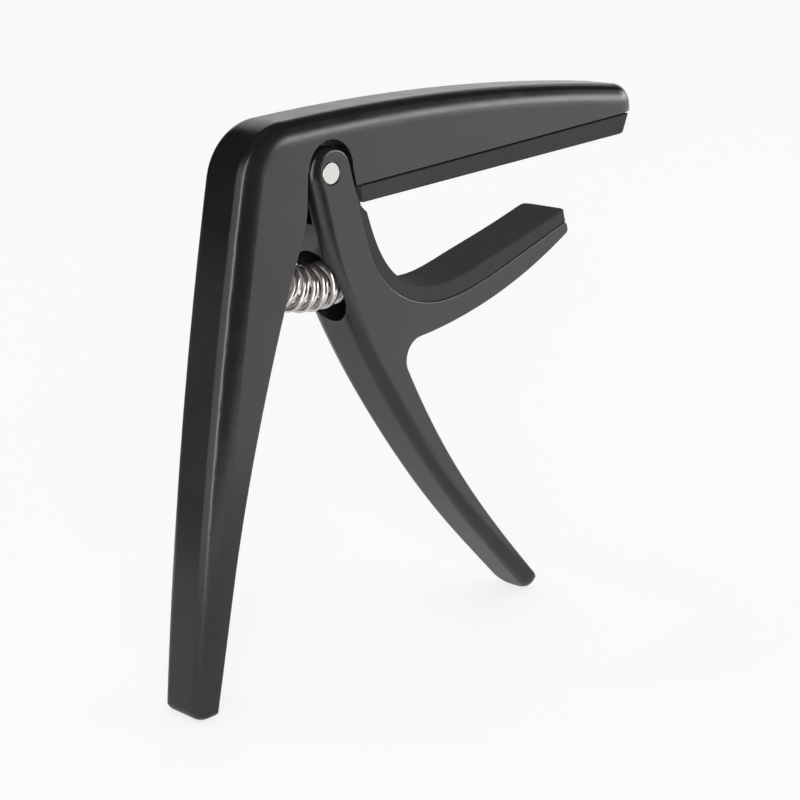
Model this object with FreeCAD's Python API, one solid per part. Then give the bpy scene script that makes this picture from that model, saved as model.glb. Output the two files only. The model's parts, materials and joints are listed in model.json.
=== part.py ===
"""Trigger-style guitar capo: a cast frame and a cast lever hinged on one pin, held shut by a spring.

Every outline is drawn about the hinge: X runs along the top bar towards its tip, Z is up, and
Y runs across the capo, whose middle plane is Y = 0.  At the end the pieces are moved together so
that the capo stands on its two feet with the origin under its middle.  Millimetres throughout.
"""
import FreeCAD, Part
import math
import os
from FreeCAD import Vector

# ---- Driving dimensions ---------------------------------------------------------------------
FRAME_WIDTH = 9.5           # across the two flat sides of the top bar
LEVER_WIDTH = 9.3           # the lever stands 0.1 inside the frame on each side
HANDLE_TIP_WIDTH = 8.6      # the rear handle narrows a little towards its foot
TRIGGER_TIP_WIDTH = 8.3     # so does the trigger
PAD_WIDTH = 9.2             # both silicone pads

PIVOT_HEIGHT = 75.7         # hinge above the surface that the capo stands on
PIVOT_SETBACK = 20.28       # hinge behind the middle of the capo

# top bar
BAR_HEEL = (-14.9, 7.5)     # where the top of the bar and the back of the handle would meet
BAR_CROWN = (19.0, 9.0)     # highest point of the gently arched top
BAR_TIP_TOP = (68.7, 6.05)
BAR_TIP_BOTTOM = (68.3, 2.0)
BAR_ROOT = (4.75, -2.3)     # underside, where it meets the arch of the hinge recess
HEEL_RADIUS = 9.3
BAR_TIP_RADIUS = 4.05

# rear handle
HANDLE_BACK = (-22.85, -35.9)
HANDLE_FOOT_BACK = (-27.95, -PIVOT_HEIGHT)
HANDLE_FOOT_FRONT = (-24.2, -PIVOT_HEIGHT)
HANDLE_FRONT = [(-4.65, -4.2), (-6.2, -9.9), (-11.75, -25.0), (-18.5, -48.3)]
FOOT_RADIUS = 1.75
FOOT_CORNER_RADIUS = 2.0
FOOT_CENTRE = (-25.8, 2.5 - PIVOT_HEIGHT)
FOOT_TRIM_SCALE = 1.02      # the foot is rounded by a cutter a hair larger than itself
HANDLE_FRONT_RADIUS = 0.4
TAPER_START = (-5.0, -6.0)  # the handle starts to narrow here
# the soft edge round the back of the handle and the bar: a bevel whose two ridges are rounded
BEVEL_ON_BACK = 1.05
BEVEL_ON_SIDE = 2.1
BACK_RIDGE_RADIUS = 1.6
SIDE_RIDGE_RADIUS = 5.4

# hinge recess: an arch cut into each side of the frame, with a web left between
ARCH_RIGHT = (4.12, 0.5)
ARCH_TOP = (-0.1, 4.85)
ARCH_LEFT = (-4.42, 0.3)
ARCH_MIDDLE = (-0.1, 0.45)
ARCH_FILL_RADIUS = 4.6      # the web fills the arch, and its round front stands out below the bar
WEB_RADIUS = 5.1
WEB_THICKNESS = 4.6

# lever
EAR_RADIUS = 3.8
CLEVIS_GAP = 4.8            # between the ears: 0.1 clear of the web on each side
CLEVIS_FLOOR_RADIUS = 7.6
EAR_FRONT_LEAN = 15.3       # degrees from vertical of the ear's straight front edge
EAR_BACK_LEAN = 18.5        # and of its back edge
THROAT = [(6.35, -8.8), (8.75, -14.9), (13.2, -19.55), (20.0, -21.95), (27.5, -21.5),
          (38.5, -18.3), (51.4, -13.98)]
JAW_TIP = (51.9, -15.85)
JAW_UNDERSIDE = (36.2, -22.97)
CROTCH = (13.0, -27.4)      # where the jaw's underside meets the front of the trigger
CROTCH_RADIUS = 3.3
JAW_TIP_RADIUS = 0.8
TRIGGER_FRONT = [(17.4, -36.25), (25.7, -49.7), (37.8, -64.9), (48.27, -76.4)]
TRIGGER_BACK = [(-0.6, -11.8), (4.7, -24.3), (13.65, -39.2), (28.05, -58.4), (45.9, -77.9)]
TRIGGER_TAPER_START = (24.0, -50.0)
TRIGGER_LEAN = 42.0         # degrees from vertical of the last third of the trigger
TRIGGER_TAPER_LENGTH = 33.442
TRIGGER_CORNER_RADIUS = 3.6
LEVER_EDGE_RADIUS = 0.3     # along the ears, the jaw and the front of the trigger
LEVER_BACK_RADIUS = 1.9     # along the back of the trigger, growing from the other at the ears

# hinge pin
PIN_RADIUS = 1.58
PIN_BORE_RADIUS = 1.65      # in the lever's ears; the frame's web grips the pin
PIN_LENGTH = 9.2
PIN_CHAMFER = 0.07
BORE_CHAMFER = 0.12

# spring, lying on an arc about the hinge
SPRING_ARC_RADIUS = 17.15
SPRING_OUTER_RADIUS = 3.5
SPRING_WIRE = 1.15
SPRING_FRAME_END = -53.0    # degrees from straight down, positive towards the jaw
SPRING_LEVER_END = 23.0
FRAME_POCKET_RADIUS = 3.9
FRAME_POCKET_ANGLE = 42.0   # the pocket's axis rises this much going back into the handle
LEVER_POCKET_WIDTH = 8.0
LEVER_POCKET_LENGTH = 12.0
LEVER_POCKET_ANGLE = 16.0   # the pocket's axis rises this much going into the lever
FRAME_SEAT_DEPTH = 0.75     # the spring meets each pocket's flat floor a little out of square,
LEVER_SEAT_DEPTH = 0.5     # so the floors lie this far beyond the middle of its ends

# pads
STRING_PAD_START = 5.95
STRING_PAD_LENGTH = 60.0    # along its flat underside
STRING_PAD_GAP = 0.35       # shadow gap between the bar and the pad's shoulders
STRING_PAD_DEPTH = 2.5      # at the hinge end
STRING_PAD_TIP_DEPTH = 3.05
STRING_PAD_END_SLANT = 1.7  # the tip end leans outwards by this much from the face to the top
NECK_PAD_FACE = [(7.1, -6.5), (9.75, -12.9), (13.2, -16.95), (18.0, -19.05), (24.0, -19.4),
                 (32.0, -17.55), (41.5, -14.95), (51.4, -11.9)]
NECK_PAD_LIP = [(5.1, -3.5), (5.75, -5.4), (7.1, -6.5)]
PAD_EDGE_RADIUS = 0.45
KEY_WIDTH = 4.0             # the rib on the back of each pad, and the groove that takes it
KEY_DEPTH = 1.6
KEY_CLEARANCE = 0.05
KEY_INSET = 3.0             # from each end of the bar's flat underside

REACH = 200.0               # longer than anything here, for the cutting shapes
BLANK_WIDTH = 14.0          # wider than the castings, which are then cut to their tapered widths


# ---- Drawing helpers ------------------------------------------------------------------------
def at(point, y=0.0):
    """The 3D place of a point of an outline."""
    return Vector(point[0], y, point[1])


def line(a, b):
    return Part.makeLine(at(a), at(b))


def arc(a, middle, b):
    return Part.Arc(at(a), at(middle), at(b)).toShape()


def downwards(lean):
    """Unit vector that points down, leaning towards the jaw by so many degrees."""
    return Vector(math.sin(math.radians(lean)), 0, -math.cos(math.radians(lean)))


def curve(points, start_direction=None):
    """A smooth curve through the points, which may leave the first one in a given direction."""
    spline = Part.BSplineCurve()
    places = [at(p) for p in points]
    if start_direction:
        end_direction = (places[-1] - places[-2]).normalize()
        spline.interpolate(Points=places, InitialTangent=start_direction, FinalTangent=end_direction)
    else:
        spline.interpolate(Points=places)
    return spline.toShape()


def slab(edges, width):
    """The closed outline as a plate of the given width, centred on Y = 0."""
    face = Part.Face(Part.Wire(Part.__sortEdges__(edges)))
    face.translate(Vector(0, -width / 2, 0))
    return face.extrude(Vector(0, width, 0))


def polygon(points):
    return [line(a, b) for a, b in zip(points, points[1:] + points[:1])]


def rod(radius, length):
    """A cylinder along the hinge axis, centred on Y = 0."""
    return Part.makeCylinder(radius, length, Vector(0, -length / 2, 0), Vector(0, 1, 0))


def follows(edge, path, slack=0.05):
    """Whether an edge of a solid, seen from the side, has its middle on a line of the outline."""
    middle = edge.valueAt((edge.FirstParameter + edge.LastParameter) / 2)
    return Part.Vertex(at((middle.x, middle.z))).distToShape(path)[0] < slack


def round_corner(solid, point, radius):
    """Rounds the corner of the outline that stands at the point, right across the solid."""
    corner = []
    for edge in solid.Edges:
        middle = edge.valueAt((edge.FirstParameter + edge.LastParameter) / 2)
        if abs(edge.tangentAt(edge.FirstParameter).y) < 0.999:
            continue
        if math.hypot(middle.x - point[0], middle.z - point[1]) < 0.1:
            corner.append(edge)
    return solid.makeFillet(radius, corner)


def tongue(start, heading, length, width, tip_width, corner_radius=0):
    """A deep prism that is full width up to start, then narrows smoothly to its tip."""
    across = Vector(0, 1, 0)
    through = heading.cross(across)

    def spot(s, y):
        return at(start) + heading * s + across * y - through * REACH

    half, tip_half = width / 2, tip_width / 2
    middle_half = half - (half - tip_half) / 4
    edges = [Part.makeLine(spot(-REACH, half), spot(-REACH, -half)),
             Part.makeLine(spot(length, tip_half), spot(length, -tip_half))]
    for side in (1, -1):
        shoulder = spot(0, side * half)
        middle = spot(length / 2, side * middle_half)
        tip = spot(length, side * tip_half)
        edges.append(Part.makeLine(spot(-REACH, side * half), shoulder))
        edges.append(Part.Arc(shoulder, middle, tip).toShape())
    prism = Part.Face(Part.Wire(Part.__sortEdges__(edges))).extrude(through * (2 * REACH))
    if corner_radius == 0:
        return prism
    corners = []
    for side in (1, -1):
        tip = spot(length, side * tip_half)
        corners += [e for e in prism.Edges
                    if e.Length > REACH and Part.Vertex(tip).distToShape(e)[0] < 1e-4
                    and abs(e.tangentAt(e.FirstParameter).dot(through)) > 0.999]
    return prism.makeFillet(corner_radius, corners)


def side_edges(solid, near):
    """The edges on the solid's two sides whose middle, seen from the side, is nearest the point."""
    def miss(edge):
        middle = edge.valueAt((edge.FirstParameter + edge.LastParameter) / 2)
        return math.hypot(middle.x - near[0], middle.z - near[1])

    return [min((e for e in solid.Edges if e.CenterOfMass.y * side > 1.0), key=miss)
            for side in (1, -1)]


def rounded(solid, radii):
    """The solid with edges rounded: a list of edge number, radius at one end, radius at the other."""
    document = FreeCAD.newDocument()
    sharp = document.addObject("Part::Feature", "Sharp")
    sharp.Shape = solid
    soft = document.addObject("Part::Fillet", "Soft")
    soft.Base = sharp
    soft.Edges = radii
    document.recompute()
    return soft.Shape.copy()


def lever_radii(solid, outline):
    """The radius of every side edge of the lever; the last line of the outline is its back."""
    radii = []
    for number, edge in enumerate(solid.Edges, 1):
        middle = edge.valueAt((edge.FirstParameter + edge.LastParameter) / 2)
        straight_across = abs(edge.tangentAt(edge.FirstParameter).y) > 0.999
        if straight_across and edge.Length > LEVER_WIDTH / 2:
            continue
        if not any(follows(edge, path, CROTCH_RADIUS / 3) for path in outline):
            continue
        if not follows(edge, outline[-1]):
            ends = (LEVER_EDGE_RADIUS, LEVER_EDGE_RADIUS)
        elif edge.BoundBox.ZMax < TRIGGER_TAPER_START[1]:
            ends = (LEVER_BACK_RADIUS, LEVER_BACK_RADIUS)
        elif middle.y < 0:
            ends = (LEVER_EDGE_RADIUS, LEVER_BACK_RADIUS)
        else:
            ends = (LEVER_BACK_RADIUS, LEVER_EDGE_RADIUS)
        radii.append((number, *ends))
    return radii


def obround(centre, heading, length, width):
    """A slot-shaped bar whose end face is at the centre, long across the hinge's Y axis."""
    across = heading.cross(Vector(0, 1, 0)) * ((length - width) / 2)
    side = Vector(0, width / 2, 0)
    corners = [centre + across + side, centre + across - side, centre - across - side,
               centre - across + side]
    middle = Part.Face(Part.makePolygon(corners + corners[:1])).extrude(heading * REACH)
    ends = [Part.makeCylinder(width / 2, REACH, centre + shift, heading)
            for shift in (across, across * -1)]
    return middle.fuse(ends).removeSplitter()


def arc_tube(radius, first, last):
    """A round bar lying on the spring's arc, between two angles about the hinge."""
    start = downwards(first) * SPRING_ARC_RADIUS
    heading = Vector(0, 1, 0).cross(start)
    section = Part.Face(Part.Wire(Part.makeCircle(radius, start, heading)))
    return section.revolve(Vector(0, 0, 0), Vector(0, -1, 0), last - first)


# ---- Pieces ---------------------------------------------------------------------------------
def hinge_recess():
    """Outline of all that lies inside the frame: under the bar, round the arch, along the handle."""
    arch = [line(BAR_TIP_BOTTOM, BAR_ROOT), line(BAR_ROOT, ARCH_RIGHT),
            arc(ARCH_RIGHT, ARCH_TOP, ARCH_LEFT), line(ARCH_LEFT, HANDLE_FRONT[0])]
    lean = (at(HANDLE_FRONT[0]) - at(ARCH_LEFT)).normalize()
    front = curve(HANDLE_FRONT + [HANDLE_FOOT_FRONT], lean)
    below = (HANDLE_FOOT_FRONT[0] - 1.0, HANDLE_FOOT_FRONT[1] - 5.0)
    beyond_below = (REACH, below[1])
    beyond_tip = (REACH, BAR_TIP_BOTTOM[1])
    rest = [line(HANDLE_FOOT_FRONT, below), line(below, beyond_below),
            line(beyond_below, beyond_tip), line(beyond_tip, BAR_TIP_BOTTOM)]
    return arch + [front] + rest


def bar_directions():
    """Unit vectors along the bar's flat underside, and out of it."""
    rise = (at(BAR_TIP_BOTTOM) - at(BAR_ROOT)).normalize()
    return rise, Vector(rise.z, 0, -rise.x)


def key_groove(width, depth):
    """The straight key of the string pad, or the groove for it, up inside the bar."""
    rise, down = bar_directions()
    root = at(BAR_ROOT) + rise * KEY_INSET
    tip = at(BAR_TIP_BOTTOM) - rise * KEY_INSET
    into_pad = down * (STRING_PAD_DEPTH / 2)
    corners = [root + into_pad, tip + into_pad, tip - down * depth, root - down * depth]
    return slab(polygon([(c.x, c.z) for c in corners]), width)


def foot_trim(blank):
    """The ring of metal that rounding the sole takes off the handle's foot."""
    block = blank.makeFillet(FOOT_CORNER_RADIUS, side_edges(blank, HANDLE_BACK))
    block = block.cut(slab(hinge_recess(), BLANK_WIDTH))
    block.scale(FOOT_TRIM_SCALE, at(FOOT_CENTRE))
    sole_height = min(e.BoundBox.ZMax for e in block.Edges)
    sole = [e for e in block.Edges if e.BoundBox.ZMax < sole_height + 0.01]
    return block.cut(block.makeFillet(FOOT_RADIUS, sole))


def frame():
    """The cast top bar and rear handle, in one piece."""
    inside = (40.0, -30.0)
    outline = [arc(HANDLE_FOOT_BACK, HANDLE_BACK, BAR_HEEL), arc(BAR_HEEL, BAR_CROWN, BAR_TIP_TOP),
               line(BAR_TIP_TOP, BAR_TIP_BOTTOM), line(BAR_TIP_BOTTOM, inside),
               line(inside, HANDLE_FOOT_FRONT), line(HANDLE_FOOT_FRONT, HANDLE_FOOT_BACK)]
    handle_length = PIVOT_HEIGHT + TAPER_START[1]
    taper = tongue(TAPER_START, downwards(0), handle_length, FRAME_WIDTH, HANDLE_TIP_WIDTH)
    blank = slab(outline, BLANK_WIDTH).common(taper).Solids[0]
    blank = round_corner(blank, BAR_HEEL, HEEL_RADIUS)
    blank = round_corner(blank, BAR_TIP_TOP, BAR_TIP_RADIUS)
    trim = foot_trim(blank)
    blank = blank.makeChamfer(BEVEL_ON_BACK, BEVEL_ON_SIDE, side_edges(blank, HANDLE_BACK))
    side_ridge = (HANDLE_BACK[0] + BEVEL_ON_SIDE, HANDLE_BACK[1])
    blank = blank.makeFillet(SIDE_RIDGE_RADIUS, side_edges(blank, side_ridge))
    blank = blank.makeFillet(BACK_RIDGE_RADIUS, side_edges(blank, HANDLE_BACK))
    body = blank.cut([slab(hinge_recess(), BLANK_WIDTH), trim])
    body = body.makeFillet(HANDLE_FRONT_RADIUS, side_edges(body, HANDLE_FRONT[2]))
    arch_fill = rod(ARCH_FILL_RADIUS, WEB_THICKNESS)
    arch_fill.translate(at(ARCH_MIDDLE))
    body = body.fuse([rod(WEB_RADIUS, WEB_THICKNESS), arch_fill]).removeSplitter()
    axis = Vector(-math.cos(math.radians(FRAME_POCKET_ANGLE)), 0,
                  math.sin(math.radians(FRAME_POCKET_ANGLE)))
    floor = downwards(SPRING_FRAME_END) * SPRING_ARC_RADIUS + axis * FRAME_SEAT_DEPTH
    pocket = Part.makeCylinder(FRAME_POCKET_RADIUS, REACH, floor, axis * -1)
    groove = key_groove(KEY_WIDTH + 2 * KEY_CLEARANCE, KEY_DEPTH + KEY_CLEARANCE)
    return body.cut([pocket, groove, rod(PIN_RADIUS, REACH)])


def ear_front(height):
    """The point of the ears' straight front edge at a height."""
    lean = math.radians(EAR_FRONT_LEAN)
    return (EAR_RADIUS / math.cos(lean) - height * math.tan(lean), height)


def lever():
    """The cast lever: two ears, the curved jaw and the trigger."""
    back_lean = math.radians(EAR_BACK_LEAN)
    front_top = ear_front(EAR_RADIUS * math.sin(math.radians(EAR_FRONT_LEAN)))
    ear_back = (-EAR_RADIUS * math.cos(back_lean), -EAR_RADIUS * math.sin(back_lean))
    ear_top = (0.0, EAR_RADIUS)
    outline = [arc(ear_back, ear_top, front_top), line(front_top, THROAT[0]),
               curve(THROAT, downwards(EAR_FRONT_LEAN)), line(THROAT[-1], JAW_TIP),
               arc(JAW_TIP, JAW_UNDERSIDE, CROTCH), curve([CROTCH] + TRIGGER_FRONT),
               line(TRIGGER_FRONT[-1], TRIGGER_BACK[-1]),
               curve([ear_back] + TRIGGER_BACK, downwards(EAR_BACK_LEAN))]
    taper = tongue(TRIGGER_TAPER_START, downwards(TRIGGER_LEAN), TRIGGER_TAPER_LENGTH,
                   LEVER_WIDTH, TRIGGER_TIP_WIDTH, TRIGGER_CORNER_RADIUS)
    body = slab(outline, BLANK_WIDTH).common(taper).Solids[0]
    body = round_corner(body, CROTCH, CROTCH_RADIUS)
    body = round_corner(body, JAW_TIP, JAW_TIP_RADIUS)
    body = round_corner(body, THROAT[-1], JAW_TIP_RADIUS)
    body = rounded(body, lever_radii(body, outline))
    axis = Vector(math.cos(math.radians(LEVER_POCKET_ANGLE)), 0,
                  math.sin(math.radians(LEVER_POCKET_ANGLE)))
    floor = downwards(SPRING_LEVER_END) * SPRING_ARC_RADIUS + axis * LEVER_SEAT_DEPTH
    holes = [rod(CLEVIS_FLOOR_RADIUS, CLEVIS_GAP), rod(PIN_BORE_RADIUS, REACH),
             obround(floor, axis * -1, LEVER_POCKET_LENGTH, LEVER_POCKET_WIDTH)]
    for side in (1, -1):
        mouth = Vector(0, side * (LEVER_WIDTH / 2 - BORE_CHAMFER), 0)
        holes.append(Part.makeCone(PIN_BORE_RADIUS, PIN_BORE_RADIUS + 2 * BORE_CHAMFER,
                                   2 * BORE_CHAMFER, mouth, Vector(0, side, 0)))
    return body.cut(holes)


def pivot_pin():
    """The steel hinge pin, pressed into the frame's web and free in the lever's ears."""
    pin = rod(PIN_RADIUS, PIN_LENGTH)
    ends = [e for e in pin.Edges if e.BoundBox.YLength < 0.01]
    return pin.makeChamfer(PIN_CHAMFER, ends)


def spring():
    """The coil spring, as the plain hollow bar that its coils fill."""
    outer = arc_tube(SPRING_OUTER_RADIUS, SPRING_FRAME_END, SPRING_LEVER_END)
    inner = arc_tube(SPRING_OUTER_RADIUS - SPRING_WIRE, SPRING_FRAME_END - 1.0,
                     SPRING_LEVER_END + 1.0)
    return outer.cut(inner)


def string_pad():
    """The straight silicone pad that presses on the strings, with a rib up into the bar."""
    rise, down = bar_directions()
    top = at(BAR_ROOT) + rise * (STRING_PAD_START - BAR_ROOT[0]) + down * STRING_PAD_GAP
    far_top = top + rise * (STRING_PAD_LENGTH + STRING_PAD_END_SLANT)
    far_face = top + rise * STRING_PAD_LENGTH + down * STRING_PAD_TIP_DEPTH
    corners = [top, top + down * STRING_PAD_DEPTH, far_face, far_top]
    body = slab(polygon([(c.x, c.z) for c in corners]), PAD_WIDTH)
    back = Part.makeLine(top, far_top)
    soft = [e for e in body.Edges
            if e.distToShape(back)[0] > STRING_PAD_DEPTH / 2 or e.Length < PAD_WIDTH / 2]
    body = body.makeFillet(PAD_EDGE_RADIUS, soft)
    return body.fuse(key_groove(KEY_WIDTH, KEY_DEPTH)).removeSplitter()


def neck_pad():
    """The curved silicone pad bonded into the jaw, which bears on the back of the guitar's neck."""
    start = ear_front(NECK_PAD_LIP[0][1])
    outline = [line(start, THROAT[0]), curve(THROAT, downwards(EAR_FRONT_LEAN)),
               line(THROAT[-1], NECK_PAD_FACE[-1]), curve(NECK_PAD_FACE),
               line(NECK_PAD_LIP[2], NECK_PAD_LIP[1]), line(NECK_PAD_LIP[1], NECK_PAD_LIP[0]),
               line(NECK_PAD_LIP[0], start)]
    body = slab(outline, PAD_WIDTH)
    soft = [e for e in body.Edges if follows(e, outline[3])]
    return body.makeFillet(PAD_EDGE_RADIUS, soft)


# ---- Putting the pieces in place and writing them out ----------------------------------------
os.makedirs("parts", exist_ok=True)
PIECES = {"frame": frame(), "lever": lever(), "pivot_pin": pivot_pin(), "spring": spring(),
          "string_pad": string_pad(), "neck_pad": neck_pad()}
for name, piece in PIECES.items():
    piece.translate(Vector(-PIVOT_SETBACK, 0, PIVOT_HEIGHT))
    piece.exportStep("parts/" + name + ".step")
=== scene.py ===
"""Guitar capo: the looks.  The castings and the pin are the CAD nodes with better materials; the coil
spring and the two silicone pads are modelled here.  Metres, in the CAD frame; outlines are drawn in
millimetres from the hinge, as in the CAD."""
import bpy
import bmesh
import json
import math
import numpy as np
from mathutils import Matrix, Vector

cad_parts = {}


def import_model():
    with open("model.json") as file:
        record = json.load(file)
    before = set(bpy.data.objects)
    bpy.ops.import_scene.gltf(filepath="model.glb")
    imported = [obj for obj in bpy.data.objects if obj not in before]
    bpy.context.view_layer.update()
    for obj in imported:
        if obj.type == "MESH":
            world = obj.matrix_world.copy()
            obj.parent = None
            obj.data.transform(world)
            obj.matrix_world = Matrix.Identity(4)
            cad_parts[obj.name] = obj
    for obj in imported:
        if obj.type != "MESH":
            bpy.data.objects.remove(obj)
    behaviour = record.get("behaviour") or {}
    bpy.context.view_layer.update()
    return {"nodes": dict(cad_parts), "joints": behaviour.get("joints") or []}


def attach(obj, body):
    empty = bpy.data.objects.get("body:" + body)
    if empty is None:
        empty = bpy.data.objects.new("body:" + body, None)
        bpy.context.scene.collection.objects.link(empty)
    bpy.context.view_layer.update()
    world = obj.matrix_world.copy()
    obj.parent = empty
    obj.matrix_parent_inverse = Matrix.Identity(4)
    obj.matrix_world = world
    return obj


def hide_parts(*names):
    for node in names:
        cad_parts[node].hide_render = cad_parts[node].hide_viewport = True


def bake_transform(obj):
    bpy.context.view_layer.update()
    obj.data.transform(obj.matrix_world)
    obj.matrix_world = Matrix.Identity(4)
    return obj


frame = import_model()

MM = 0.001
HINGE = Vector(frame["joints"][0]["pos_m"])

# ---- Sizes that the CAD gives too (millimetres and degrees about the hinge) -------------------
SPRING_ARC_RADIUS = 17.15
COIL_RADIUS = 2.925         # to the middle of the wire
WIRE_RADIUS = 0.575
FRAME_SEAT = -53.0          # from straight down, positive towards the jaw
LEVER_SEAT = 23.0

PAD_WIDTH = 9.2
PAD_EDGE = 0.45             # rounding along the edges of each pad's face
BAR_ROOT = (4.75, -2.3)
BAR_TIP = (68.3, 2.0)
STRING_PAD_START = 5.95
STRING_PAD_LENGTH = 60.0
STRING_PAD_GAP = 0.35
STRING_PAD_DEPTH = 2.5
STRING_PAD_TIP_DEPTH = 3.05
STRING_PAD_SLANT = 1.7
THROAT = [(6.35, -8.8), (8.75, -14.9), (13.2, -19.55), (20.0, -21.95), (27.5, -21.5),
          (38.5, -18.3), (51.4, -13.98)]
THROAT_TOP = (4.9, -3.5)
EAR_FRONT_LEAN = math.radians(15.3)
NECK_FACE = [(7.1, -6.5), (9.75, -12.9), (13.2, -16.95), (18.0, -19.05), (24.0, -19.4),
             (32.0, -17.55), (41.5, -14.95), (51.4, -11.9)]
NECK_LIP = [(5.1, -3.5), (5.75, -5.4), (7.1, -6.5)]

# ---- Details that only the visual model has ---------------------------------------------------
CLOSED_PITCH = 4.8          # degrees per turn in the closed end turns
CLOSED_TURNS = 1.0          # at each end
ACTIVE_TURNS = 9.4
PITCH_BLEND = 0.35          # turns over which the closed pitch opens
HAND = -1.0                 # left-hand wound
START_TURN = 0.4            # how far round the coil the wire begins
WIRE_REPEAT = 0.45          # millimetres of wire per step, for the die lines
STEPS_PER_TURN = 40
WIRE_SIDES = 18

PLAN_CORNER = 1.3           # the tip ends of both pads are rounded as seen from above
STRING_PAD_CROWN = 0.06     # how far the middle of each face swells
NECK_PAD_CROWN = 0.05
STRING_PAD_BACK_EDGE = 0.15
NECK_PAD_BACK_EDGE = 0.12
NECK_PAD_EMBED = 0.08       # how far the neck pad's back reaches into the casting
# distance from an end of the string pad, and how far its skin has drawn in there
END_ROUNDING = [(0.0, 0.30), (0.05, 0.14), (0.16, 0.05), (0.34, 0.0)]
NECK_TIP_ROUNDING = (0.34, 0.16, 0.06, 0.01)    # the same for the neck pad's last four sections
TIP_BLUNTNESS = 0.05        # the plan corner starts this far in, so that the tip has some width
STRING_PAD_FULL = (1.0, 1.6)    # the string pad has its full section this far from its two ends
SLANT_POWER = 12            # how quickly the slant of its tip dies out towards the hinge
EDGE_SHARE = 0.45           # a thin pad's roundings take at most these parts of its depth
BACK_EDGE_SHARE = 0.3
BACK_BAND = 0.01            # points of the neck pad's section nearer its back than this are embedded
CORNER_STEPS = 6
FLAT_STEPS = 8
STRING_PAD_STATIONS = 60
NECK_PAD_STATIONS = 110
LIP_STATIONS = 8
EAR_SAMPLES = 60            # the line on which the neck pad's back is looked up
THROAT_SAMPLES = 600


# ---- Helpers --------------------------------------------------------------------------------
def place(x, z, y=0.0):
    """A point given in millimetres from the hinge, in the row frame."""
    return HINGE + Vector((x * MM, y * MM, z * MM))


def spoke(angle):
    """Unit vector from the hinge that leans so many degrees from straight down."""
    lean = math.radians(angle)
    return Vector((math.sin(lean), 0, -math.cos(lean)))


def add_mesh(name, verts, faces, material, smooth=True):
    mesh = bpy.data.meshes.new(name)
    mesh.from_pydata([tuple(v) for v in verts], [], faces)
    mesh.validate()
    obj = bpy.data.objects.new(name, mesh)
    bpy.context.scene.collection.objects.link(obj)
    made = bmesh.new()
    made.from_mesh(mesh)
    bmesh.ops.recalc_face_normals(made, faces=made.faces)
    made.to_mesh(mesh)
    made.free()
    mesh.polygons.foreach_set("use_smooth", [smooth] * len(mesh.polygons))
    mesh.materials.append(material)
    return obj


def loft(rings):
    """Vertices and faces of a closed skin over rings of equal length, capped at both ends."""
    count = len(rings[0])
    verts = [p for ring in rings for p in ring]
    faces = []
    for i in range(len(rings) - 1):
        for j in range(count):
            k = (j + 1) % count
            faces.append((i * count + j, i * count + k, (i + 1) * count + k, (i + 1) * count + j))
    faces.append(tuple(reversed(range(count))))
    faces.append(tuple(range((len(rings) - 1) * count, len(rings) * count)))
    return verts, faces


# ---- Materials ------------------------------------------------------------------------------
FACING_RINGS = 42000.0      # radians of the ring pattern per metre of the pin's radius


def opaque(red, green, blue):
    return (red, green, blue, 1)


class Nodes:
    """A material's node tree, with short calls to add and join nodes."""

    def __init__(self, name):
        self.material = bpy.data.materials.new(name)
        self.material.use_nodes = True
        self.tree = self.material.node_tree
        self.shader = self.tree.nodes["Principled BSDF"]
        coords = self.tree.nodes.new("ShaderNodeTexCoord")
        self.coords = coords.outputs["Object"]

    def set(self, **values):
        for key, value in values.items():
            self.shader.inputs[key.replace("_", " ")].default_value = value

    def join(self, socket, value):
        """Links a node's output to the socket, or sets the socket to a constant."""
        if isinstance(value, bpy.types.NodeSocket):
            self.tree.links.new(value, socket)
        else:
            socket.default_value = value

    def node(self, kind, inputs=None, **settings):
        made = self.tree.nodes.new(kind)
        for key, value in settings.items():
            setattr(made, key, value)
        for key, value in (inputs or {}).items():
            self.join(made.inputs[key], value)
        return made

    def noise(self, scale, detail=2.0, rough=0.5, vector=None):
        """A soft noise with about so many bumps per metre of the object."""
        made = self.node("ShaderNodeTexNoise", {"Vector": vector or self.coords, "Scale": scale,
                                                "Detail": detail, "Roughness": rough})
        return made.outputs["Fac"]

    def spread(self, value, low, high, from_low=0.3, from_high=0.7):
        """Maps a noise value to a range."""
        made = self.node("ShaderNodeMapRange", {"Value": value, "From Min": from_low,
                                                "From Max": from_high, "To Min": low,
                                                "To Max": high})
        return made.outputs["Result"]

    def mix(self, factor, a, b):
        made = self.node("ShaderNodeMix", data_type="RGBA")
        factor_socket, a_socket, b_socket = (made.inputs[i] for i in (0, 6, 7))
        self.join(factor_socket, factor)
        self.join(a_socket, a)
        self.join(b_socket, b)
        return made.outputs[2]

    def bump(self, height, distance, strength=1.0, under=None):
        inputs = {"Height": height, "Distance": distance, "Strength": strength}
        if under:
            inputs["Normal"] = under
        return self.node("ShaderNodeBump", inputs).outputs["Normal"]

    def drive(self, key, socket):
        self.tree.links.new(socket, self.shader.inputs[key])


def powder_coat():
    """Satin black powder coat: a fine pebbled skin over the casting's slow unevenness."""
    coat = Nodes("powder_coat")
    coat.set(Metallic=0.0, IOR=1.68)
    grain = coat.noise(5200.0, 2.0, 0.6)
    waves = coat.noise(260.0, 3.0, 0.5)
    clouds = coat.noise(70.0, 3.0, 0.6)
    colour = coat.mix(coat.spread(clouds, 0.0, 1.0), opaque(0.005, 0.005, 0.0055),
                      opaque(0.008, 0.008, 0.0085))
    speckle = coat.spread(grain, 0.0, 0.5, 0.55, 0.8)
    coat.drive("Base Color", coat.mix(speckle, colour, opaque(0.018, 0.018, 0.019)))
    coat.drive("Roughness", coat.spread(waves, 0.21, 0.27))
    slow = coat.bump(waves, 0.00002, 0.25)
    coat.drive("Normal", coat.bump(grain, 0.000012, 0.35, slow))
    return coat.material


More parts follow.
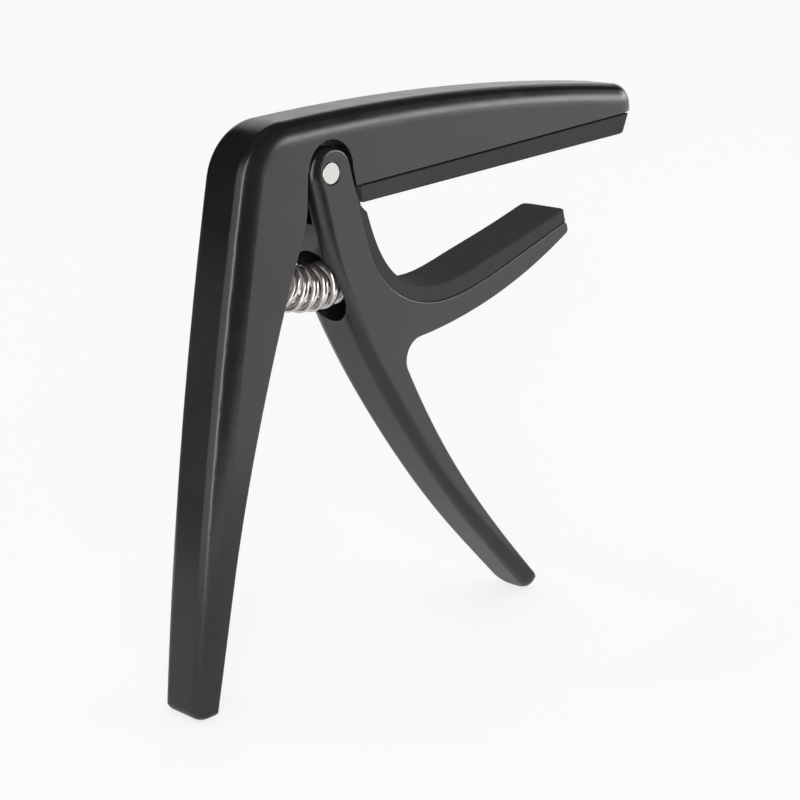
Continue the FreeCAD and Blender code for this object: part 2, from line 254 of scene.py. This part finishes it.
def silicone():
    """Matt dark silicone with the slight mottle of a blasted mould."""
    rubber = Nodes("silicone")
    rubber.set(Metallic=0.0, IOR=1.42, Specular_IOR_Level=0.05)
    grain = rubber.noise(3600.0, 3.0, 0.6)
    clouds = rubber.noise(110.0, 3.0, 0.6)
    rubber.drive("Base Color", rubber.mix(rubber.spread(clouds, 0.0, 1.0),
                                          opaque(0.033, 0.031, 0.034), opaque(0.041, 0.0385, 0.042)))
    rubber.drive("Roughness", rubber.spread(clouds, 0.55, 0.65))
    rubber.drive("Normal", rubber.bump(grain, 0.00002, 0.35))
    return rubber.material


def pin_steel():
    """Ground steel: faint rings left by the facing cut, and a little tarnish."""
    steel = Nodes("pin_steel")
    steel.set(Metallic=1.0)
    about = steel.node("ShaderNodeVectorMath", {0: steel.coords, 1: HINGE}, operation="SUBTRACT")
    flat = steel.node("ShaderNodeVectorMath", {0: about.outputs["Vector"], 1: (1.0, 0.0, 1.0)},
                      operation="MULTIPLY")
    radius = steel.node("ShaderNodeVectorMath", {0: flat.outputs["Vector"]}, operation="LENGTH")
    rings = steel.node("ShaderNodeMath", {0: radius.outputs["Value"], 1: FACING_RINGS},
                       operation="MULTIPLY")
    rings = steel.node("ShaderNodeMath", {0: rings.outputs["Value"]}, operation="SINE")
    stain = steel.noise(1500.0, 4.0, 0.7)
    steel.drive("Base Color", steel.mix(steel.spread(stain, 0.0, 1.0), opaque(0.78, 0.76, 0.73),
                                        opaque(0.68, 0.65, 0.61)))
    steel.drive("Roughness", steel.spread(stain, 0.24, 0.36))
    steel.drive("Normal", steel.bump(rings.outputs["Value"], 0.000003, 0.2))
    return steel.material


def spring_plate():
    """Bright nickel on drawn wire: faint lengthwise die lines and small dull patches."""
    nickel = Nodes("spring_plate")
    nickel.set(Metallic=0.97)
    wire = nickel.node("ShaderNodeAttribute", attribute_name="wire").outputs["Vector"]
    lines = nickel.node("ShaderNodeMapping", {"Vector": wire, "Scale": (30.0, 1.2, 1.0)})
    lines = nickel.noise(1.0, 2.0, 0.6, lines.outputs["Vector"])
    patches = nickel.noise(900.0, 3.0, 0.6)
    nickel.drive("Base Color", nickel.mix(nickel.spread(patches, 0.0, 1.0),
                                          opaque(0.93, 0.88, 0.85), opaque(0.87, 0.82, 0.79)))
    nickel.drive("Roughness", nickel.spread(patches, 0.19, 0.24))
    nickel.drive("Normal", nickel.bump(lines, 0.00001, 0.05))
    return nickel.material


COAT = powder_coat()
RUBBER = silicone()
STEEL = pin_steel()
NICKEL = spring_plate()

for node_name, material in (("frame", COAT), ("lever", COAT), ("pivot_pin", STEEL)):
    for material_slot in frame["nodes"][node_name].material_slots:
        material_slot.material = material


# ---- Spring ---------------------------------------------------------------------------------
def open_turns(turn, start):
    """Turns wound at the open pitch since the closed turns ended, with a smooth beginning."""
    past = turn - start
    blended = min(max(past + PITCH_BLEND / 2, 0.0), PITCH_BLEND)
    return blended * blended / (2 * PITCH_BLEND) + max(0.0, past - PITCH_BLEND / 2)


def coil_angle(turn, turns):
    """Angle about the hinge at which the wire stands after so many turns."""
    end_gap = math.degrees(WIRE_RADIUS / (SPRING_ARC_RADIUS - COIL_RADIUS))
    first = FRAME_SEAT + end_gap
    last = LEVER_SEAT - end_gap
    pitch = (last - first - 2 * CLOSED_TURNS * CLOSED_PITCH) / ACTIVE_TURNS

    def travelled(t):
        opened = open_turns(t, CLOSED_TURNS) - open_turns(t, turns - CLOSED_TURNS)
        return CLOSED_PITCH * t + (pitch - CLOSED_PITCH) * opened

    return first + travelled(turn) * (last - first) / travelled(turns)


def wire_path():
    """Middle line of the wire: a helix whose own axis is bent round the hinge."""
    turns = 2 * CLOSED_TURNS + ACTIVE_TURNS
    steps = int(turns * STEPS_PER_TURN)
    points = []
    for i in range(steps + 1):
        turn = turns * i / steps
        spin = 2 * math.pi * (turn + START_TURN)
        radial = SPRING_ARC_RADIUS + COIL_RADIUS * math.cos(spin)
        across = Vector((0, HAND * COIL_RADIUS * math.sin(spin), 0))
        points.append(HINGE + (spoke(coil_angle(turn, turns)) * radial + across) * MM)
    return points


def spring():
    """The coil, skinned round the wire's path."""
    path = wire_path()
    side = Vector((0, 0, 1))
    rings = []
    for i, point in enumerate(path):
        along = (path[min(i + 1, len(path) - 1)] - path[max(i - 1, 0)]).normalized()
        side = (side - along * side.dot(along)).normalized()
        other = along.cross(side)
        ring = []
        for j in range(WIRE_SIDES):
            turn = 2 * math.pi * j / WIRE_SIDES
            ring.append(point + (side * math.cos(turn) + other * math.sin(turn))
                        * (WIRE_RADIUS * MM))
        rings.append(ring)
    verts, faces = loft(rings)
    obj = add_mesh("coil_spring", verts, faces, NICKEL)
    lengths = np.repeat(np.arange(len(rings)) * WIRE_REPEAT, WIRE_SIDES)
    around = np.tile(np.arange(WIRE_SIDES) / WIRE_SIDES, len(rings))
    wire = obj.data.attributes.new("wire", "FLOAT_VECTOR", "POINT")
    wire.data.foreach_set("vector", np.stack([around, lengths, around * 0], 1).ravel())
    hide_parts("spring")
    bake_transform(obj)


# ---- Pads -----------------------------------------------------------------------------------
def pad_section(depth, width, face_radius, back_radius, crown):
    """Outline of a pad's section: (across, out) pairs, out from its back towards its face."""
    loop = []
    half = width / 2
    for cx, cz, radius, start in ((half, depth, face_radius, 0), (-half, depth, face_radius, 90),
                                  (-half, 0.0, back_radius, 180), (half, 0.0, back_radius, 270)):
        centre = (cx - math.copysign(radius, cx), cz - (radius if cz > 0 else -radius))
        for step in range(CORNER_STEPS + 1):
            turn = math.radians(start + 90 * step / CORNER_STEPS)
            loop.append([centre[0] + radius * math.cos(turn), centre[1] + radius * math.sin(turn)])
        if start in (0, 180):
            inner = half - radius
            for step in range(1, FLAT_STEPS):
                across = inner * (1 - 2 * step / FLAT_STEPS)
                loop.append([across if start == 0 else -across, depth if start == 0 else 0.0])
    for point in loop:
        if point[1] > depth / 2:
            point[1] += crown * (1 - (point[0] / half) ** 2)
    return loop


def plan_inset(from_end):
    """How far a pad's side has drawn in at a distance from its rounded end."""
    short = PLAN_CORNER - min(from_end, PLAN_CORNER)
    return PLAN_CORNER - math.sqrt(PLAN_CORNER ** 2 - short ** 2)


def spline(points, count, start_direction=None):
    """A smooth curve through points, sampled evenly: natural ends unless a direction is given."""
    p = np.array(points, float)
    gaps = np.linalg.norm(np.diff(p, axis=0), axis=1)
    t = np.concatenate([[0.0], np.cumsum(gaps)])
    n = len(p)
    matrix = np.zeros((n, n))
    right = np.zeros((n, 2))
    for i in range(1, n - 1):
        matrix[i, i - 1:i + 2] = (gaps[i - 1] / 6, (gaps[i - 1] + gaps[i]) / 3, gaps[i] / 6)
        right[i] = (p[i + 1] - p[i]) / gaps[i] - (p[i] - p[i - 1]) / gaps[i - 1]
    matrix[0, 0] = matrix[-1, -1] = 1.0
    if start_direction is not None:
        matrix[0, :2] = (gaps[0] / 3, gaps[0] / 6)
        right[0] = (p[1] - p[0]) / gaps[0] - np.array(start_direction)
    bend = np.linalg.solve(matrix, right)
    made = []
    for s in np.linspace(0.0, t[-1], count):
        i = min(int(np.searchsorted(t, s, side="right")) - 1, n - 2)
        a, b = (t[i + 1] - s) / gaps[i], (s - t[i]) / gaps[i]
        made.append(a * p[i] + b * p[i + 1]
                    + ((a ** 3 - a) * bend[i] + (b ** 3 - b) * bend[i + 1]) * gaps[i] ** 2 / 6)
    return np.array(made)


def finish_pad(name, rings, node, body):
    """Skins a pad's sections, hides the CAD node it stands for and parents it to the body it moves
    with.
    """
    verts, faces = loft(rings)
    obj = add_mesh(name, verts, faces, RUBBER)
    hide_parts(node)
    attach(obj, body)


def string_pad_stations():
    """Distance along the pad, draw-in of its depth and draw-in of its sides, for each section."""
    stations = [(s, inset, inset) for s, inset in END_ROUNDING]
    middle = np.linspace(STRING_PAD_FULL[0], STRING_PAD_LENGTH - STRING_PAD_FULL[1],
                         STRING_PAD_STATIONS)
    stations += [(s, 0.0, 0.0) for s in middle]
    far = END_ROUNDING + [(0.6, 0.0), (0.9, 0.0), (PLAN_CORNER, 0.0)]
    stations += [(STRING_PAD_LENGTH - s, inset, inset + plan_inset(s + TIP_BLUNTNESS))
                 for s, inset in reversed(far)]
    return stations


def string_pad():
    """The straight pad under the bar, which thickens a little towards the tip."""
    root = np.array(BAR_ROOT)
    tip = np.array(BAR_TIP)
    along = (tip - root) / np.linalg.norm(tip - root)
    down = np.array([along[1], -along[0]])
    start = root + along * (STRING_PAD_START - BAR_ROOT[0]) + down * STRING_PAD_GAP
    rings = []
    for s, thin, narrow in string_pad_stations():
        full = STRING_PAD_DEPTH + (STRING_PAD_TIP_DEPTH - STRING_PAD_DEPTH) * s / STRING_PAD_LENGTH
        ring = []
        for across, out in pad_section(full, PAD_WIDTH, PAD_EDGE, STRING_PAD_BACK_EDGE,
                                       STRING_PAD_CROWN):
            shrink = 1 - narrow / (PAD_WIDTH / 2)
            depth = full / 2 + (out - full / 2) * (1 - thin / (full / 2))
            fade = (s / STRING_PAD_LENGTH) ** SLANT_POWER
            slant = STRING_PAD_SLANT * fade * (1 - depth / full)
            spot = start + along * (s + slant) + down * depth
            ring.append(place(spot[0], spot[1], across * shrink))
        rings.append(ring)
    finish_pad("string_cushion", rings, "string_pad", "frame_body")


def neck_pad():
    """The curved pad: its sections stand on the jaw's throat and follow the face and the lip."""
    lean = (math.sin(EAR_FRONT_LEAN), -math.cos(EAR_FRONT_LEAN))
    back = np.vstack([np.linspace(THROAT_TOP, THROAT[0], EAR_SAMPLES)[:-1],
                      spline(THROAT, THROAT_SAMPLES, lean)])
    lip = np.vstack([np.linspace(NECK_LIP[0], NECK_LIP[1], LIP_STATIONS)[:-1],
                     np.linspace(NECK_LIP[1], NECK_LIP[2], LIP_STATIONS)[:-1]])
    face = np.vstack([lip, spline(NECK_FACE, NECK_PAD_STATIONS)])
    rings = []
    last = len(face) - 1
    for i, outer in enumerate(face):
        inner = back[int(np.argmin(np.linalg.norm(back - outer, axis=1)))]
        if i == last:
            inner = back[-1]
        depth = np.linalg.norm(outer - inner)
        out = (outer - inner) / depth
        shrink = NECK_TIP_ROUNDING[last - i] if last - i < len(NECK_TIP_ROUNDING) else 0.0
        narrow = shrink + plan_inset(np.linalg.norm(face[last] - outer) + TIP_BLUNTNESS)
        section = pad_section(depth, PAD_WIDTH, min(PAD_EDGE, depth * EDGE_SHARE),
                              min(NECK_PAD_BACK_EDGE, depth * BACK_EDGE_SHARE), NECK_PAD_CROWN)
        ring = []
        for across, height in section:
            height = min(height, depth + NECK_PAD_CROWN - shrink)
            spot = inner + out * (height if height > BACK_BAND else -NECK_PAD_EMBED)
            ring.append(place(spot[0], spot[1], across * (1 - narrow / (PAD_WIDTH / 2))))
        rings.append(ring)
    finish_pad("neck_cushion", rings, "neck_pad", "lever_body")


spring()
string_pad()
neck_pad()


# ---- Floor, light and camera ----------------------------------------------------------------
def plain(name, colour, roughness, glow=0.0, tint=(1.0, 1.0, 1.0)):
    made = Nodes(name)
    made.set(Base_Color=(*colour, 1), Roughness=roughness, Emission_Color=(*tint, 1),
             Emission_Strength=glow)
    return made.material


def glow_card(name, glow):
    """A card's material: black, and glowing by itself if it is to be a light."""
    return plain(name, (0.0, 0.0, 0.0), 1.0, glow)


def only_reflected(obj):
    """Hides a studio mesh from the camera, from diffuse light and from shadows, so it shows in
    reflections only.
    """
    obj.visible_camera = False
    obj.visible_diffuse = False
    obj.visible_shadow = False


def card(name, distance, bearing, width, bottom, top, material):
    """An upright card facing the capo; bearing in degrees from +X towards +Y, as seen from it."""
    turn = math.radians(bearing)
    away = Vector((math.cos(turn), math.sin(turn), 0))
    across = Vector((-math.sin(turn), math.cos(turn), 0)) * (width / 2)
    foot = away * distance + Vector((0, 0, bottom))
    head = away * distance + Vector((0, 0, top))
    only_reflected(add_mesh(name, [foot - across, foot + across, head + across, head - across],
                            [(0, 1, 2, 3)], material, smooth=False))


FLOOR_HALF = 6.0
floor = add_mesh("floor", [(-FLOOR_HALF, -FLOOR_HALF, 0), (FLOOR_HALF, -FLOOR_HALF, 0),
                           (FLOOR_HALF, FLOOR_HALF, 0), (-FLOOR_HALF, FLOOR_HALF, 0)],
                 [(0, 1, 2, 3)],
                 plain("floor_white", (0.25, 0.25, 0.255), 0.9, 0.752, (0.972, 0.980, 0.992)),
                 smooth=False)

# the dark cards give the black bands on the castings' soft edges, the bright ones their highlights
BLACK = glow_card("card_black", 0.0)
card("left_flag_low", 0.13, 118.0, 0.20, 0.0, 0.07, glow_card("flag_grey", 0.18))
card("left_flag_high", 0.13, 118.0, 0.20, 0.07, 0.22, BLACK)
card("front_flag", 0.16, 258.0, 0.24, 0.0, 0.24, BLACK)
card("right_flag", 0.61, -40.0, 1.1, 0.25, 0.90, BLACK)
card("left_strip", 0.20, 214.0, 0.04, 0.0, 0.22, glow_card("strip_glow", 4.4))
card("right_box", 0.60, -45.0, 1.0, 0.11, 0.22, glow_card("box_glow", 4.3))

# a grey patch on the floor, which dims the lower parts of the handle and of the trigger's back
SHADE = [(-0.16, -0.04), (-0.16, 0.08), (0.035, 0.06), (0.035, -0.03), (0.0, -0.035), (0.04, -0.07),
         (0.01, -0.10), (-0.08, -0.07)]
SHADE_LIFT = 0.0005
only_reflected(add_mesh("floor_shade", [(x, y, SHADE_LIFT) for x, y in SHADE],
                        [tuple(range(len(SHADE)))], glow_card("shade_grey", 0.5), smooth=False))


def area(name, location, target, size, power):
    """A soft square light that shows in no reflection."""
    light = bpy.data.lights.new(name, "AREA")
    light.shape = "SQUARE"
    light.size = size
    light.energy = power
    obj = bpy.data.objects.new(name, light)
    bpy.context.scene.collection.objects.link(obj)
    obj.location = location
    obj.rotation_mode = "QUATERNION"
    obj.rotation_quaternion = (Vector(target) - Vector(location)).to_track_quat("-Z", "Y")
    obj.visible_glossy = False


area("top_light", (0.2, 0.2, 2.2), (0.2, 0.2, 0), 4.0, 35.0)
area("front_light", (-1.4, -1.6, 0.3), (0, 0, 0.04), 1.2, 60.0)

# height on the unit sphere, and how bright the surround is there
SURROUND = [(0.0, 0.85), (0.50, 0.85), (0.68, 0.02), (0.86, 0.02), (1.0, 0.08)]


def world():
    """A pale surround near the horizon that falls off to a dark room above."""
    made = bpy.data.worlds.new("studio")
    bpy.context.scene.world = made
    made.use_nodes = True
    nodes, links = made.node_tree.nodes, made.node_tree.links
    coords = nodes.new("ShaderNodeTexCoord")
    split = nodes.new("ShaderNodeSeparateXYZ")
    links.new(coords.outputs["Generated"], split.inputs["Vector"])
    ramp = nodes.new("ShaderNodeValToRGB")
    links.new(split.outputs["Z"], ramp.inputs["Fac"])
    stops = ramp.color_ramp.elements
    for stop, (height, value) in zip(stops, (SURROUND[0], SURROUND[-1])):
        stop.position = height
        stop.color = opaque(value, value, value)
    for height, value in SURROUND[1:-1]:
        stops.new(height).color = opaque(value, value, value)
    links.new(ramp.outputs["Color"], nodes["Background"].inputs["Color"])
    nodes["Background"].inputs["Strength"].default_value = 1.0


world()

camera_data = bpy.data.cameras.new("camera")
camera_data.lens = 90.0
camera_data.sensor_width = 36.0
camera_data.clip_start = 0.01
camera_data.clip_end = 20.0
camera = bpy.data.objects.new("camera", camera_data)
bpy.context.scene.collection.objects.link(camera)
camera.location = (-0.211803, -0.209879, 0.121470)
camera.rotation_euler = tuple(math.radians(angle) for angle in (74.2454, 0.7385, -45.1097))
bpy.context.scene.camera = camera
bpy.context.scene.view_settings.view_transform = "Standard"
